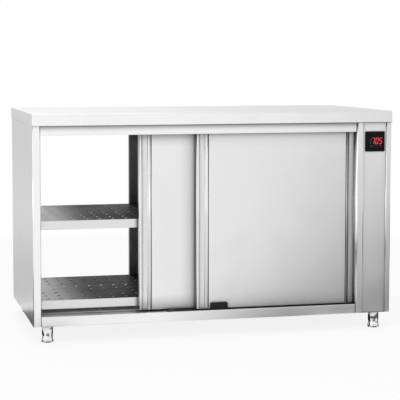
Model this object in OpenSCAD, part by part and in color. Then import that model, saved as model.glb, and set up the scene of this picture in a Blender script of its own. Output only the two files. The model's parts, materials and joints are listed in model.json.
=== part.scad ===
// Pass-through plate warmer cabinet with sliding doors on both long sides,
// two perforated shelves, a fan heater column and a folded stainless worktop.
// Front faces -Y, the heater column is at +X, the feet stand on z = 0.

/* [Overall] */
// Width over the worktop
cabinet_w = 1400; // [1200:10:1800]
// Depth over the worktop
cabinet_d = 700; // [620:10:800]
// Height from the floor to the worktop
cabinet_h = 850; // [800:5:950]

/* [Worktop] */
// Height of the folded worktop edge
worktop_h = 44; // [36:1:60]
// Worktop sheet thickness
worktop_sheet = 1.5; // [1:0.1:2]
// Radius of the long worktop edges
worktop_edge_r = 3; // [2:0.5:5]
// Width of the flange folded in under the worktop edge
worktop_flange = 24; // [18:1:40]
// Worktop overhang past the front and the rear of the body
worktop_overhang = 6; // [4:1:20]
// Worktop overhang past each side of the body
side_overhang = 1; // [1:0.5:6]
// Width of the flat top of a stiffener below the worktop
stiffener_w = 60; // [40:5:90]
// Distance of each stiffener from the middle of the worktop
stiffener_offset = 150; // [110:5:180]

/* [Body] */
// Body sheet thickness
sheet = 1.2; // [0.8:0.1:1.5]
// Height of the rail over the doors
top_rail_h = 36; // [34:1:50]
// Height of the rail below the doors
bottom_rail_h = 36; // [30:1:60]
// Thickness of the insulated left wall
left_wall = 30; // [26:1:45]
// Width of the heater column on the right
column_w = 143; // [130:1:180]
// Width of the post between the doorway and the control panel
post_w = 31; // [26:1:40]
// Width of the folded strip along each edge of the right side panel
side_strip = 20; // [14:1:28]
// How far the control panel lies behind the posts
panel_recess = 4; // [3:0.5:6]
// Depth of the folded returns beside and below the doors
return_d = 9; // [9:1:13]

/* [Doors] */
// Distance from the body front to the outer door
door_setback = 15; // [14:1:20]
// Door thickness
door_t = 20; // [18:1:22]
// Gap between the outer and the inner door
door_gap = 4; // [3:0.5:6]
// How far a closed door reaches behind the post
door_tuck = 11; // [6:1:16]
// Overlap of the two closed doors at the middle
door_overlap = 40; // [20:1:80]
// Gap below the doors
door_bottom_gap = 5; // [4.5:0.5:8]
// How far the doors reach up behind the top rail
door_top_lap = 6; // [3:0.5:7]
// Width of the folded edge strip of a door
edge_strip = 9; // [6:1:14]
// Width of the finger pull channel beside the edge strip
pull_w = 27; // [20:1:36]
// Depth of the finger pull channel
pull_d = 7; // [5:0.5:9]
// Width of the slope between the channel and the door face
pull_slope = 6; // [4:1:10]
// Width and depth of the groove around the door face
groove = 2.4; // [1.5:0.1:3]
// How far the front left door stands open
front_open = 387; // [0:1:560]
// How far the rear left door stands open
rear_open = 463; // [0:1:560]

/* [Running gear] */
// Roller radius
roller_r = 9; // [7:0.5:9]
// Roller width
roller_w = 6; // [5:0.5:7]
// Radius of the roller axle
axle_r = 3; // [2:0.5:4]
// Running clearance of the roller on its axle
axle_clearance = 0.05; // [0.03:0.01:0.08]
// Distance of each roller from the door edge
roller_inset = 90; // [60:5:150]
// Thickness of the track ledges
ledge_t = 2; // [1.5:0.1:3]
// Thickness of a hanger plate
hanger_t = 3; // [2:0.5:3]
// Length of a hanger foot along the door
hanger_l = 60; // [40:5:80]

/* [Door guides] */
// Length of the guide base on the sill
guide_l = 234; // [160:2:300]
// Thickness of the guide base
guide_t = 3; // [2:0.5:3.5]
// Length of each upright guide tab
guide_tab_l = 67; // [40:1:90]
// Height of the upright guide tabs
guide_tab_h = 27; // [18:1:36]

/* [Shelves] */
// Height of the top of the lower shelf over the floor
lower_shelf_z = 147; // [132:1:200]
// Slots between the lower and the upper shelf
shelf_steps = 6; // [5:1:9]
// Height of the folded shelf edge
shelf_lip = 33; // [25:1:34]
// Gap between a shelf and the doors behind and in front of it
shelf_gap = 6; // [5:1:30]
// Gap between a shelf end and the wall liner
shelf_end_gap = 6; // [5:1:12]
// Diameter of the shelf holes
hole_d = 14; // [8:1:20]
// Distance between holes along the shelf
hole_pitch_x = 50; // [30:1:80]
// Distance between holes across the shelf
hole_pitch_y = 68; // [40:1:90]
// Margin without holes along the shelf edges
hole_margin = 22; // [15:1:60]
// Distance of the shelf uprights from the middle of the depth
upright_y = 190; // [120:5:220]
// Spacing of the slots in the shelf uprights
slot_pitch = 50; // [40:5:55]

/* [Heater] */
// Height of the fan centre over the floor
fan_z = 585; // [560:5:600]
// Fan wheel radius
fan_r = 75; // [60:1:80]
// Fan wheel width
fan_w = 30; // [20:1:32]
// Number of fan blades
fan_blades = 16; // [8:1:24]
// Radius of the heating ring
heater_r = 98; // [92:1:110]
// Radius of the heating tube
heater_tube_r = 4; // [3:0.5:5]
// Depth of the air duct behind the liner
duct_d = 52; // [50:1:60]
// Motor radius
motor_r = 36; // [25:1:45]
// Radius of the motor shaft
shaft_r = 5; // [4:0.5:6]

/* [Controller] */
// Width of the controller glass
controller_w = 80; // [60:1:84]
// Height of the controller glass
controller_h = 78; // [60:1:110]
// Corner radius of the controller glass
controller_r = 4; // [2:0.5:8]
// Drop of the controller below the worktop
controller_drop = 35; // [25:1:120]

/* [Feet] */
// Height of the body over the floor
leg_h = 62; // [50:1:150]
// Radius of the fixed upper part of a leg
leg_r = 20.5; // [18:0.5:25]
// Height of the adjustable foot
foot_h = 24; // [20:1:30]
// Distance of the legs from the body sides
leg_inset_x = 55; // [55:1:100]
// Distance of the legs from the body front and rear
leg_inset_y = 30; // [26:1:60]

/* [Hidden] */

$fn = 48;

// Cuts run this far past the faces that they open
cut = 1;
// Gap between pieces that pass each other without touching
clear = 0.3;

// Body box inside the worktop overhang
body_left = -cabinet_w / 2 + side_overhang;
body_right = -body_left;
body_front = -cabinet_d / 2 + worktop_overhang;
body_z0 = leg_h;
body_z1 = cabinet_h - worktop_h;

// Doorway
door_left_x = body_left + left_wall;
door_right_x = body_right - column_w;
sill_z = body_z0 + bottom_rail_h;
lintel_z = body_z1 - top_rail_h;
doorway_w = door_right_x - door_left_x;

// Doors
door_w = (doorway_w + 2 * door_tuck + door_overlap) / 2;
door_z0 = sill_z + door_bottom_gap;
door_z1 = lintel_z + door_top_lap;
left_closed_x = door_left_x - door_tuck;
right_closed_x = door_right_x + door_tuck - door_w;
outer_door_y = body_front + door_setback;
inner_door_y = outer_door_y + door_t + door_gap;

// Room inside, behind both doors
room_gap = 7;
room_front = inner_door_y + door_t + room_gap;
room_end = -room_front;
post_right_x = door_right_x + post_w;
strip_x = body_right - side_strip;

// Running gear, measured from the middle plane of a door
ledge_lift = 1;
ledge_z = door_z1 + hanger_t + clear + ledge_lift;
roller_z = ledge_z + ledge_t + clear + roller_r;
track_top = body_z1 - sheet;
track_roof = ledge_t;
hanger_y = -1;
roller_y = hanger_y - clear - roller_w;
ledge_back = 2;
ledge_front = 1.2;
ledge_y0 = roller_y - ledge_back;
ledge_y1 = hanger_y - ledge_front;

// Ribs, screws and small parts
flange = 20;
hem = 8;
groove_lip = 3;
upper_shelf_z = lower_shelf_z + shelf_steps * slot_pitch;
lower_seat = lower_shelf_z - shelf_lip;
upper_seat = upper_shelf_z - shelf_lip;
upright_w = 22;
upright_d = 4;
slot_h = 8;
slot_w = 4;
clip_w = 18;
clip_t = 2.5;
clip_reach = 12;
bolt_r = 5;
bolt_clearance = 0.5;
thread_clearance = 0.1;
foot_stem_r = 7;
foot_stem_l = 18;
foot_clearance = 0.06;
glass_t = 3;
glass_lap = 6;
case_d = 45;
gland_r = 10;
gland_bore = 5.2;
gland_clearance = 0.1;
gland_z = body_z0 + 52;
column_mid = (post_right_x + strip_x) / 2;
duct_x0 = door_right_x + sheet;
duct_half = 125;
duct_z0 = sill_z + 34;
duct_z1 = lintel_z - 30;
duct_hole_r = shaft_r + 6;
fan_gap = 6;
shaft_clearance = 0.05;
heater_leg_turn = 15;
heater_leg_r = heater_tube_r - 0.5;
heater_leg_out = 16;
heater_leg_clearance = 0.1;
motor_x0 = duct_x0 + duct_d + clear;
motor_l = 60;

// A box between two corners
module block(low, high)
    translate(low) cube(high - low);

// Mirrors a front piece to the rear as well
module at_rear(rear)
    mirror([0, rear ? 1 : 0, 0]) children();

// An upright sheet profile, drawn in plan and raised between two heights
module raised(z0, z1)
    translate([0, 0, z0]) linear_extrude(z1 - z0) children();

// A sheet profile drawn across the depth and run along the width
module run_along(x0, x1)
    translate([x0, 0, 0]) rotate([90, 0, 90]) linear_extrude(x1 - x0) children();

// A rectangle between two corners
module area(low, high)
    translate(low) square(high - low);

// ---- Worktop ----

module worktop_outline(inset) {
    r = worktop_edge_r - inset / 2;
    y = cabinet_d / 2 - inset;
    top = cabinet_h - inset;
    area([-y, body_z1 + inset], [y, top - r]);
    area([-y + r, body_z1 + inset], [y - r, top]);
    for (side = [-1, 1])
        translate([side * (y - r), top - r]) circle(r);
}

module worktop() {
    end = cabinet_w / 2;
    color("gainsboro") difference() {
        run_along(-end, end) worktop_outline(0);
        run_along(-end + worktop_sheet, end - worktop_sheet) worktop_outline(worktop_sheet);
        block([-end + worktop_flange, -cabinet_d / 2 + worktop_flange, body_z1 - cut],
              [end - worktop_flange, cabinet_d / 2 - worktop_flange, body_z1 + worktop_sheet + cut]);
    }
}

module worktop_stiffener() {
    half = stiffener_w / 2;
    top = cabinet_h - worktop_sheet;
    run_along(body_left + sheet, body_right - sheet) {
        area([-half, top - sheet], [half, top]);
        for (side = [0, 1]) mirror([side, 0]) {
            area([half - sheet, body_z1], [half, top]);
            area([half - sheet, body_z1], [half + flange, body_z1 + sheet]);
        }
    }
}

module worktop_stiffeners()
    color("lightgray") difference() {
        for (side = [-1, 1])
            translate([0, side * stiffener_offset, 0]) worktop_stiffener();
        // The ends are notched over the flanges of the worktop
        for (side = [-1, 1])
            translate([side * cabinet_w / 2, 0, body_z1])
                cube([2 * worktop_flange + 2 * clear, cabinet_d, 2 * worktop_sheet + clear], center = true);
    }

// ---- Side walls ----

// Plan of a side panel with folded strips at both ends; x = 0 is its outer face
module side_panel_plan(strip) {
    area([0, body_front], [sheet, -body_front]);
    for (rear = [0, 1]) mirror([0, rear]) {
        area([0, body_front], [strip, body_front + sheet]);
        area([strip - sheet, body_front], [strip, body_front + return_d]);
    }
}

module side_panel(strip) {
    raised(body_z0, body_z1) side_panel_plan(strip);
    // Flanges that carry the worktop and meet the base
    for (z = [body_z0 + sheet, body_z1 - sheet])
        block([0, body_front + return_d + cut, z], [flange, -body_front - return_d - cut, z + sheet]);
}

module left_side_panel()
    color("gainsboro") translate([body_left, 0, 0]) side_panel(left_wall);

module right_side_panel()
    color("gainsboro") translate([body_right, 0, 0]) mirror([1, 0, 0]) side_panel(side_strip);

// Plan of a wall liner; x = 0 is the face in the room, the wall is at x > 0
module liner_plan(wall) {
    area([0, room_front], [sheet, room_end]);
    for (rear = [0, 1]) mirror([0, rear])
        area([0, room_front], [wall, room_front + sheet]);
}

module left_side_liner()
    color("lightgray") translate([door_left_x, 0, 0]) mirror([1, 0, 0])
        raised(body_z0 + 2 * sheet, body_z1 - sheet) liner_plan(left_wall - sheet);

// Horizontal air slots in rows, centred on a height
module air_slots(middle_z, rows, length) {
    pitch = 14;
    bank = length / 2 + 8;
    for (row = [0:rows - 1], side = [-1, 1])
        translate([door_right_x - cut, side * bank, middle_z + (row - (rows - 1) / 2) * pitch])
            rotate([0, 90, 0]) linear_extrude(sheet + 2 * cut) {
                square([slot_w, length], center = true);
                for (end = [-1, 1]) translate([0, end * length / 2]) circle(d = slot_w);
            }
}

module right_side_liner() {
    inlet_l = 60;
    outlet_l = 80;
    low_outlet_z = duct_z0 + 80;
    high_outlet_z = duct_z1 - 40;
    color("lightgray") difference() {
        translate([door_right_x, 0, 0])
            raised(body_z0 + 2 * sheet, body_z1 - sheet) liner_plan(post_w - sheet);
        air_slots(fan_z, 9, inlet_l);
        air_slots(low_outlet_z, 5, outlet_l);
        air_slots(high_outlet_z, 3, outlet_l);
    }
}

module insulation() {
    depth = room_end - sheet - clear;
    color("khaki") {
        block([body_left + sheet, -depth, sill_z], [door_left_x - sheet, depth, lintel_z]);
        block([door_left_x, -depth, lintel_z + sheet], [door_right_x, depth, body_z1 - 4 * sheet]);
        block([door_left_x, -depth, body_z0 + 2 * sheet], [door_right_x, depth, sill_z - sheet]);
    }
}

// ---- Frame around the doorways ----

// Section of the rail over a doorway, front side
module top_rail_section() {
    area([body_front, lintel_z], [body_front + sheet, body_z1]);
    area([body_front, lintel_z], [body_front + return_d, lintel_z + sheet]);
    area([body_front, body_z1 - sheet], [room_front + sheet, body_z1]);
}

module top_rail(rear)
    color("gainsboro") at_rear(rear)
        run_along(door_left_x, door_right_x) top_rail_section();

module front_top_rail() top_rail(false);
module rear_top_rail() top_rail(true);

// Section of the rail below a doorway, with the sill that the doors pass over
module bottom_rail_section() {
    area([body_front, body_z0], [body_front + sheet, sill_z]);
    area([body_front, sill_z - sheet], [room_front, sill_z]);
    area([body_front, body_z0 + sheet], [body_front + return_d, body_z0 + 2 * sheet]);
    area([room_front - sheet, sill_z - flange], [room_front, sill_z]);
}

module bottom_rail(rear)
    color("gainsboro") at_rear(rear)
        run_along(door_left_x, door_right_x) bottom_rail_section();

module front_bottom_rail() bottom_rail(false);
module rear_bottom_rail() bottom_rail(true);

// Post between the doorway and the control panel
module post(rear)
    color("gainsboro") at_rear(rear) difference() {
        raised(body_z0, body_z1) {
            area([door_right_x, body_front], [post_right_x, body_front + sheet]);
            area([door_right_x, body_front], [door_right_x + sheet, body_front + return_d]);
            area([post_right_x - sheet, body_front], [post_right_x, room_front]);
        }
        block([door_right_x + sheet, body_front + sheet, body_z0 - cut],
              [post_right_x + cut, room_front + cut, body_z0 + sheet]);
    }

module front_post() post(false);
module rear_post() post(true);

// ---- Floor, base and ceiling ----

module floor_panel()
    color("lightgray") run_along(door_left_x, door_right_x) {
        area([room_front + clear, sill_z - sheet], [room_end - clear, sill_z]);
        for (rear = [0, 1]) mirror([rear, 0])
            area([room_front + clear, sill_z - flange], [room_front + clear + sheet, sill_z]);
    }

// Places a child at each of the four legs
module at_legs()
    for (x = [-1, 1], y = [-1, 1])
        translate([x * (body_right - leg_inset_x), y * (body_front + leg_inset_y), 0]) children();

module base_panel() {
    inner_y = -body_front - sheet;
    color("lightgray") difference() {
        block([body_left + sheet, -inner_y, body_z0], [body_right - sheet, inner_y, body_z0 + sheet]);
        at_legs() translate([0, 0, body_z0 - cut])
            cylinder(h = sheet + 2 * cut, r = bolt_r + bolt_clearance);
        // Corners of the side panels and posts that reach down past the base
        for (rear = [false, true]) at_rear(rear) {
            block([body_left, body_front, body_z0 - cut],
                  [door_left_x + clear, body_front + return_d + clear, body_z0 + sheet + cut]);
            block([strip_x - clear, body_front, body_z0 - cut],
                  [body_right, body_front + return_d + clear, body_z0 + sheet + cut]);
            block([door_right_x - clear, body_front, body_z0 - cut],
                  [door_right_x + sheet + clear, body_front + return_d + clear, body_z0 + sheet + cut]);
        }
    }
}

module ceiling_panel()
    color("lightgray") run_along(door_left_x, door_right_x) {
        area([room_front, lintel_z], [room_end, lintel_z + sheet]);
        for (rear = [0, 1]) mirror([rear, 0])
            area([room_front, lintel_z], [room_front + sheet, body_z1 - sheet]);
    }

// ---- Tracks and guides ----

// One lane of the track; y = 0 is the middle plane of its door
module track_lane() {
    area([ledge_y0 - sheet, ledge_z], [ledge_y0, track_top]);
    area([ledge_y0 - sheet, ledge_z], [ledge_y1, ledge_z + ledge_t]);
}

module track(rear) {
    lane = outer_door_y + door_t / 2;
    inner_lane = inner_door_y + door_t / 2;
    color("silver") at_rear(rear)
        run_along(left_closed_x, door_right_x + door_tuck) {
            area([lane + ledge_y0 - sheet, track_top - track_roof], [room_front, track_top]);
            translate([lane, 0]) track_lane();
            translate([inner_lane, 0]) track_lane();
        }
}

module front_track() track(false);
module rear_track() track(true);

// An upright tab with rounded top corners, standing on the guide base
module guide_tab(x, y, thickness) {
    r = 6;
    translate([x, y + thickness, sill_z]) rotate([90, 0, 0]) linear_extrude(thickness) {
        square([guide_tab_l, guide_tab_h - r]);
        translate([r, 0]) square([guide_tab_l - 2 * r, guide_tab_h]);
        for (corner = [r, guide_tab_l - r]) translate([corner, guide_tab_h - r]) circle(r);
    }
}

// Plastic floor guide at the middle of the doorway: tabs before and behind the
// outer door on the right, and behind the inner door on the left
module door_guide(rear) {
    shift = 15;
    right = (door_left_x + door_right_x) / 2 + guide_l / 2 - shift;
    left = right - guide_l;
    tab_gap = 1.5;
    front_tab = 5;
    rear_tab = 3;
    front = outer_door_y - tab_gap - front_tab;
    fin = door_gap - 1.6;
    screw_r = 2;
    screw_inset = 20;
    color("black") at_rear(rear) difference() {
        union() {
            block([left, front, sill_z], [right, room_front - tab_gap, sill_z + guide_t]);
            guide_tab(right - guide_tab_l, front, front_tab);
            guide_tab(left, inner_door_y + door_t + tab_gap, rear_tab);
            block([right - guide_tab_l, inner_door_y - door_gap / 2 - fin / 2, sill_z],
                  [right, inner_door_y - door_gap / 2 + fin / 2, sill_z + guide_tab_h / 2]);
        }
        for (x = [left + screw_inset, left + guide_l / 2])
            translate([x, outer_door_y + door_t / 2, sill_z - cut])
                cylinder(h = guide_t + 2 * cut, r = screw_r);
    }
}

module front_door_guide() door_guide(false);
module rear_door_guide() door_guide(true);

// ---- Shelves ----

module shelf(top) {
    x0 = door_left_x + shelf_end_gap;
    x1 = door_right_x - shelf_end_gap;
    y1 = room_end - shelf_gap;
    room_x = x1 - x0 - 2 * hole_margin - hole_d;
    room_y = 2 * y1 - 2 * hole_margin - hole_d;
    columns = floor(room_x / hole_pitch_x);
    rows = floor(room_y / hole_pitch_y);
    middle = (x0 + x1) / 2;
    color("silver") difference() {
        block([x0, -y1, top - shelf_lip], [x1, y1, top]);
        block([x0 + sheet, -y1 + sheet, top - shelf_lip - cut], [x1 - sheet, y1 - sheet, top - sheet]);
        for (column = [0:columns], row = [0:rows])
            translate([middle + (column - columns / 2) * hole_pitch_x,
                       (row - rows / 2) * hole_pitch_y, top - sheet - cut])
                cylinder(h = sheet + 2 * cut, d = hole_d, $fn = 24);
    }
}

module upper_shelf() shelf(upper_shelf_z);
module lower_shelf() shelf(lower_shelf_z);

// A slotted upright; x = 0 is the wall face, the upright stands out to x > 0
module upright() {
    slots = floor((lintel_z - lower_seat - flange) / slot_pitch);
    difference() {
        block([0, -upright_w / 2, sill_z], [upright_d, upright_w / 2, lintel_z]);
        block([-cut, -upright_w / 2 + sheet, sill_z - cut],
              [upright_d - sheet, upright_w / 2 - sheet, lintel_z + cut]);
        for (slot = [0:slots])
            translate([0, -slot_w / 2, lower_seat + clear + slot * slot_pitch])
                cube([2 * upright_d, slot_w, slot_h]);
    }
}

// Places a child at the wall face of each shelf upright
module at_uprights()
    for (side = [-1, 1]) {
        translate([door_left_x, side * upright_y, 0]) children();
        translate([door_right_x, side * upright_y, 0]) mirror([1, 0, 0]) children();
    }

module shelf_uprights()
    color("silver") at_uprights() upright();

// A clip hooked into a slot of an upright, with a tongue below the shelf edge
module shelf_clip(seat) {
    back_t = 1;
    block([upright_d, -clip_w / 2, seat - clip_t], [upright_d + back_t, clip_w / 2, seat + slot_h]);
    block([upright_d, -clip_w / 2, seat - clip_t], [upright_d + clip_reach, clip_w / 2, seat]);
    block([upright_d - sheet - back_t, -slot_w / 2 + clear, seat + 2 * clear],
          [upright_d, slot_w / 2 - clear, seat + slot_h]);
}

module shelf_clips()
    color("silver") at_uprights() {
        shelf_clip(lower_seat);
        shelf_clip(upper_seat);
    }

// ---- Fan heater ----

module fan_motor() {
    bearing_r = duct_hole_r - 1;
    lug_w = 10;
    lug_l = 12;
    lug_t = 3;
    color("dimgray") translate([motor_x0, 0, fan_z]) rotate([0, 90, 0]) difference() {
        union() {
            cylinder(h = motor_l, r = motor_r);
            for (turn = [0:90:270]) rotate(turn)
                translate([motor_r - lug_t, -lug_w / 2, 0]) cube([lug_l, lug_w, lug_t]);
            translate([0, 0, -fan_gap]) cylinder(h = motor_l, r = bearing_r);
        }
        translate([0, 0, -fan_gap - cut]) cylinder(h = motor_l / 2 + fan_gap, r = shaft_r + shaft_clearance);
    }
}

module fan_wheel() {
    hub_r = shaft_r + 7;
    hub_back = 4;
    shaft_l = 32;
    disc_t = 2;
    eye_r = fan_r * 0.7;
    blade_r = eye_r + 1.5;
    blade_t = 1.2;
    back = duct_x0 + duct_d - 2 * fan_gap - 1;
    color("silver") translate([back, 0, fan_z]) rotate([0, 90, 0]) {
        cylinder(h = disc_t, r = fan_r);
        translate([0, 0, -fan_w]) difference() {
            cylinder(h = disc_t, r = fan_r);
            translate([0, 0, -cut]) cylinder(h = disc_t + 2 * cut, r = eye_r);
        }
        translate([0, 0, -fan_w / 2]) cylinder(h = fan_w / 2 + hub_back, r = hub_r);
        translate([0, 0, -fan_w / 2]) cylinder(h = fan_w / 2 + shaft_l, r = shaft_r);
        for (blade = [0:fan_blades - 1]) rotate(blade * 360 / fan_blades)
            translate([blade_r, -blade_t / 2, disc_t / 2 - fan_w])
                cube([fan_r - blade_r - 1, blade_t, fan_w]);
    }
}

// Places a child on each leg of the heating ring, which lead out through the duct
module at_heater_legs()
    for (side = [-1, 1]) rotate(side * heater_leg_turn) translate([heater_r, 0, 0]) children();

module heating_ring()
    color("dimgray") translate([duct_x0 + duct_d / 2, 0, fan_z]) rotate([0, 90, 0]) {
        rotate_extrude() translate([heater_r, 0]) circle(heater_tube_r);
        at_heater_legs() cylinder(h = duct_d / 2 + heater_leg_out, r = heater_leg_r);
    }

module air_duct()
    color("silver") difference() {
        block([duct_x0, -duct_half, duct_z0], [duct_x0 + duct_d, duct_half, duct_z1]);
        block([duct_x0 - cut, -duct_half + sheet, duct_z0 + sheet],
              [duct_x0 + duct_d - sheet, duct_half - sheet, duct_z1 - sheet]);
        translate([duct_x0, 0, fan_z]) rotate([0, 90, 0]) {
            cylinder(h = duct_d + cut, r = duct_hole_r);
            at_heater_legs() cylinder(h = duct_d + cut, r = heater_leg_r + heater_leg_clearance);
        }
    }

// ---- Column front and rear ----

// Folded panel between the post and the side strip
module column_plan() {
    x0 = post_right_x + clear;
    x1 = strip_x - clear;
    y = body_front + panel_recess;
    area([x0, y], [x1, y + sheet]);
    area([x0, y], [x0 + sheet, y + return_d]);
    area([x1 - sheet, y], [x1, y + return_d]);
}

module control_panel() {
    cut_w = controller_w - 2 * glass_lap;
    cut_h = controller_h - 2 * glass_lap;
    middle = body_z1 - controller_drop - controller_h / 2;
    color("gainsboro") difference() {
        raised(body_z0 + sheet, body_z1) column_plan();
        translate([column_mid, body_front + panel_recess, middle])
            cube([cut_w, 4 * sheet, cut_h], center = true);
    }
}

module rear_service_panel() {
    vents = 12;
    vent_pitch = 16;
    vent_w = 56;
    vent_h = 5;
    vent_z = body_z0 + 2 * (controller_h + controller_drop);
    color("gainsboro") at_rear(true) difference() {
        raised(body_z0 + sheet, body_z1) column_plan();
        for (row = [0:vents - 1])
            translate([column_mid, body_front + panel_recess, vent_z + row * vent_pitch])
                rotate([90, 0, 0]) linear_extrude(4 * sheet, center = true) {
                    square([vent_w, vent_h], center = true);
                    for (end = [-1, 1]) translate([end * vent_w / 2, 0]) circle(d = vent_h, $fn = 24);
                }
        translate([column_mid, body_front + panel_recess, gland_z])
            rotate([90, 0, 0]) cylinder(h = 4 * sheet, r = gland_r + gland_clearance, center = true);
    }
}

// A flat plate with rounded corners, centred, lying in the width and height
module rounded_plate(w, h, r, t)
    rotate([90, 0, 0]) linear_extrude(t) {
        square([w - 2 * r, h], center = true);
        square([w, h - 2 * r], center = true);
        for (x = [-1, 1], y = [-1, 1])
            translate([x * (w / 2 - r), y * (h / 2 - r)]) circle(r);
    }

module controller_glass() {
    middle = body_z1 - controller_drop - controller_h / 2;
    color("black") translate([column_mid, body_front + panel_recess, middle])
        rounded_plate(controller_w, controller_h, controller_r, glass_t);
}

module controller_case() {
    lap = glass_lap + 2;
    wall = 2;
    half_w = controller_w / 2 - lap;
    half_h = controller_h / 2 - lap;
    middle = body_z1 - controller_drop - controller_h / 2;
    y = body_front + panel_recess;
    color("dimgray") difference() {
        block([column_mid - half_w, y, middle - half_h],
              [column_mid + half_w, y + case_d, middle + half_h]);
        block([column_mid - half_w + wall, y + wall, middle - half_h + wall],
              [column_mid + half_w - wall, y + case_d - wall, middle + half_h - wall]);
    }
}

module terminal_block() {
    ways = 5;
    way_w = 10;
    depth = 28;
    height = 24;
    middle_y = 164;
    well_r = 3;
    well_z = 8;
    base = body_z0 + sheet;
    color("ivory") translate([column_mid, middle_y, base]) difference() {
        block([-ways * way_w / 2, -depth / 2, 0], [ways * way_w / 2, depth / 2, height]);
        for (way = [0:ways - 1])
            translate([(way - (ways - 1) / 2) * way_w, 0, well_z])
                cylinder(h = height, r = well_r, $fn = 24);
    }
}

module cable_gland() {
    cap_t = 5.5;
    cap_r = gland_r + 3.5;
    nut_t = 5;
    nut_r = gland_r + 4;
    shank_in = 18;
    y = body_front + panel_recess;
    color("black") at_rear(true) translate([column_mid, y, gland_z]) rotate([90, 0, 0]) difference() {
        union() {
            cylinder(h = cap_t, r = cap_r, $fn = 6);
            translate([0, 0, -shank_in]) cylinder(h = shank_in + cut, r = gland_r);
            translate([0, 0, -sheet - nut_t]) cylinder(h = nut_t, r = nut_r, $fn = 6);
        }
        translate([0, 0, -shank_in - cut]) cylinder(h = shank_in + cap_t + 2 * cut, r = gland_bore);
    }
}

// ---- Legs ----

module leg_sockets() {
    bead = 1;
    bead_z = 4;
    bolt_l = 16;
    bore_spare = 4;
    color("silver") at_legs() difference() {
        union() {
            translate([0, 0, foot_h + clear]) cylinder(h = leg_h - foot_h - clear, r = leg_r);
            translate([0, 0, leg_h]) cylinder(h = bolt_l, r = bolt_r);
            translate([0, 0, foot_h + bead_z]) rotate_extrude() translate([leg_r - bead, 0]) circle(2 * bead);
        }
        translate([0, 0, foot_h - cut])
            cylinder(h = foot_stem_l + bore_spare + cut, r = foot_stem_r + foot_clearance);
    }
}

module leg_nuts() {
    nut_h = 8;
    nut_r = bolt_r + 4.5;
    color("silver") at_legs() translate([0, 0, body_z0 + sheet]) difference() {
        cylinder(h = nut_h, r = nut_r, $fn = 6);
        translate([0, 0, -cut]) cylinder(h = nut_h + 2 * cut, r = bolt_r + thread_clearance);
    }
}

// A turned foot: flared base, waist and threaded stem
module foot(x, y) {
    edge = 1.5;
    base_r = leg_r - edge;
    flare_r = leg_r + edge;
    waist_r = leg_r - 2.5;
    flare_z0 = foot_h / 8;
    flare_z1 = foot_h / 4;
    waist_z = foot_h * 2 / 3;
    color("silver") translate([x * (body_right - leg_inset_x), y * (body_front + leg_inset_y), 0]) {
        rotate_extrude() {
            polygon([[0, 0], [base_r, 0], [flare_r, flare_z0], [flare_r, flare_z1],
                     [leg_r, flare_z0 + flare_z1], [waist_r, waist_z], [waist_r, foot_h], [0, foot_h]]);
        }
        cylinder(h = foot_h + foot_stem_l, r = foot_stem_r);
    }
}

module foot_front_left() foot(-1, 1);
module foot_front_right() foot(1, 1);
module foot_rear_left() foot(-1, -1);
module foot_rear_right() foot(1, -1);

// ---- Doors ----

// Half of the folded door face in plan: edge strip, finger pull, slope and groove
module door_edge_plan() {
    channel_end = edge_strip + pull_w;
    slope_end = channel_end + pull_slope;
    groove_x = slope_end + groove_lip;
    area([0, 0], [sheet, door_t]);
    area([0, 0], [edge_strip, sheet]);
    area([edge_strip - sheet, 0], [edge_strip, pull_d + sheet]);
    area([edge_strip - sheet, pull_d], [channel_end, pull_d + sheet]);
    polygon([[channel_end, pull_d], [slope_end, 0], [slope_end + sheet, sheet],
             [channel_end + sheet / 2, pull_d + sheet], [channel_end - sheet, pull_d + sheet]]);
    area([slope_end, 0], [groove_x, sheet]);
    area([groove_x - sheet, 0], [groove_x, groove + sheet]);
    area([groove_x - sheet, groove], [groove_x + groove + sheet, groove + sheet]);
    area([groove_x + groove, 0], [groove_x + groove + sheet, groove + sheet]);
}

module door_skin_plan() {
    face = edge_strip + pull_w + pull_slope + groove_lip + groove;
    door_edge_plan();
    translate([door_w, 0]) mirror([1, 0]) door_edge_plan();
    area([face, 0], [door_w - face, sheet]);
}

// x is the left edge of the door at rest, y its front face
module door_skin(x, y, rear)
    color("gainsboro") at_rear(rear) translate([x, y, 0]) {
        raised(door_z0 + sheet, door_z1 - sheet) door_skin_plan();
        for (z = [door_z0, door_z1 - sheet])
            block([0, 0, z], [door_w, door_t, z + sheet]);
    }

module door_liner(x, y, rear)
    color("lightgray") at_rear(rear) translate([x, y, 0]) difference() {
        block([sheet, door_t - hem, door_z0 + sheet], [door_w - sheet, door_t, door_z1 - sheet]);
        block([2 * sheet, door_t - hem - cut, door_z0 + 2 * sheet],
              [door_w - 2 * sheet, door_t - sheet, door_z1 - 2 * sheet]);
    }

// Places a child at each roller of a door, at the top of its middle plane
module at_roller(x, y, end)
    translate([end == 0 ? x + roller_inset : x + door_w - roller_inset, y + door_t / 2, 0]) children();

module hanger() {
    head_t = 1.4;
    collar = 0.6;
    head_r = axle_r + 2;
    plate_w = 24;
    plate_over = 3;
    foot_y = 8;
    screw_inset = 9;
    screw_r = 3.5;
    screw_h = 2;
    block([-hanger_l / 2, hanger_y, door_z1], [hanger_l / 2, foot_y, door_z1 + hanger_t]);
    block([-plate_w / 2, hanger_y, door_z1],
          [plate_w / 2, hanger_y + hanger_t, roller_z + axle_r + plate_over]);
    translate([0, roller_y - collar, roller_z]) rotate([-90, 0, 0])
        cylinder(h = roller_w + collar + cut, r = axle_r);
    translate([0, roller_y - clear, roller_z]) rotate([90, 0, 0]) cylinder(h = head_t, r = head_r);
    for (side = [-1, 1])
        translate([side * (hanger_l / 2 - screw_inset), foot_y / 2, door_z1 + hanger_t])
            cylinder(h = screw_h, r = screw_r, $fn = 24);
}

module door_hangers(x, y, rear)
    color("silver") at_rear(rear)
        for (end = [0, 1]) at_roller(x, y, end) hanger();

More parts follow.
